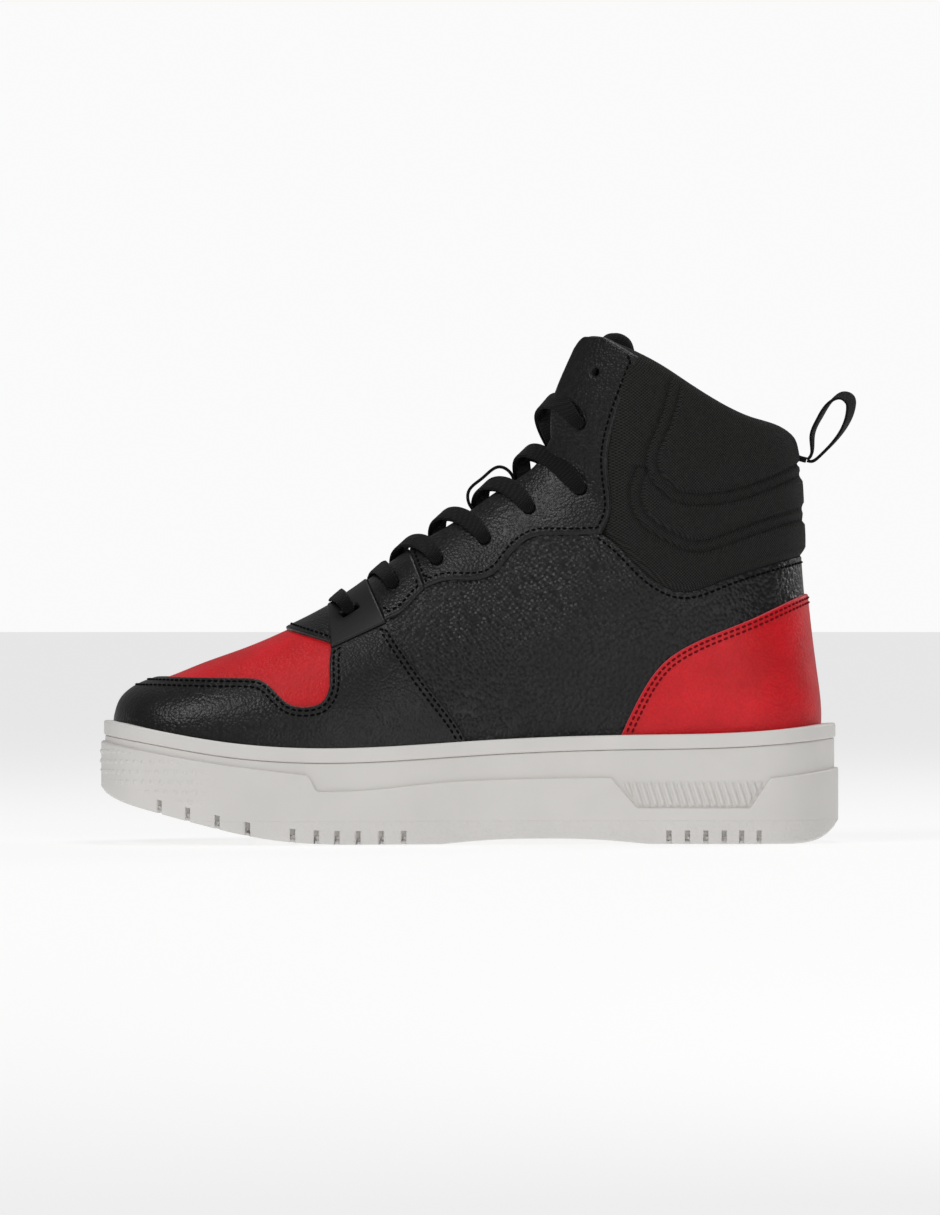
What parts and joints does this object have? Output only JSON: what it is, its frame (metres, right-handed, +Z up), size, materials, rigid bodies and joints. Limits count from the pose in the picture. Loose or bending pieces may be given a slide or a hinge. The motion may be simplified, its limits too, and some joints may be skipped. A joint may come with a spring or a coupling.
{
  "type": "basketball high top",
  "caption": "Padded high-top basketball shoe for the right foot, laced, with a leather upper, a cup sole and a heel pull loop.",
  "frame": {"origin": "middle of the shoe's box at floor level", "axes": "+X towards the heel, +Y towards the lateral side, +Z up; the toe points along -X"},
  "size_m": [0.3058, 0.1108, 0.2068],
  "materials": {
    "sole_rubber": "matte",
    "midsole_foam": "matte",
    "smooth_leather": "satin",
    "tumbled_leather": "satin",
    "red_leather": "satin",
    "keeper_rubber": "matte",
    "collar_textile": "woven",
    "lining_textile": "knitted",
    "padding": "foam",
    "webbing": "woven",
    "board": "matte",
    "stiffener": "matte",
    "steel": "brushed",
    "aglet_plastic": "gloss"
  },
  "bodies": {
    "shoe": {"outsole": "sole_rubber", "midsole": "midsole_foam", "foxing_band": "sole_rubber", "shank": "steel", "insole_board": "board", "sockliner": "lining_textile", "vamp": "red_leather", "quarter_medial": "tumbled_leather", "quarter_lateral": "tumbled_leather", "mudguard": "smooth_leather", "heel_overlay": "red_leather", "lace_keeper": "keeper_rubber", "throat_patch": "smooth_leather", "eyestay_lower_medial": "smooth_leather", "eyestay_lower_lateral": "smooth_leather", "eyestay_upper_medial": "smooth_leather", "eyestay_upper_lateral": "smooth_leather", "toe_puff": "stiffener", "heel_counter": "stiffener", "eyelet_stay_medial": "stiffener", "eyelet_stay_lateral": "stiffener", "lining": "lining_textile", "collar_panel": "collar_textile", "collar_foam": "padding", "collar_lining": "lining_textile", "pull_loop_tab": "webbing", "lace": "webbing", "aglets": "aglet_plastic"},
    "tongue": {"tongue_foam": "padding", "tongue_outer": "collar_textile", "tongue_lining": "lining_textile", "tongue_lace_loop": "webbing"},
    "pull_loop": {"pull_loop": "webbing"}
  },
  "joints": [
    {"name": "tongue_hinge", "type": "hinge", "parent": "shoe", "child": "tongue", "pos_m": [-0.0454, -0.00173, 0.098], "axis": [0, 1, 0], "range_deg": [0, 10], "deforming": ["tongue_lace_loop"]},
    {"name": "pull_loop_hinge", "type": "hinge", "parent": "shoe", "child": "pull_loop", "pos_m": [0.1353, -0.00173, 0.1554], "axis": [0, 1, 0], "range_deg": [-8, 100]}
  ]
}
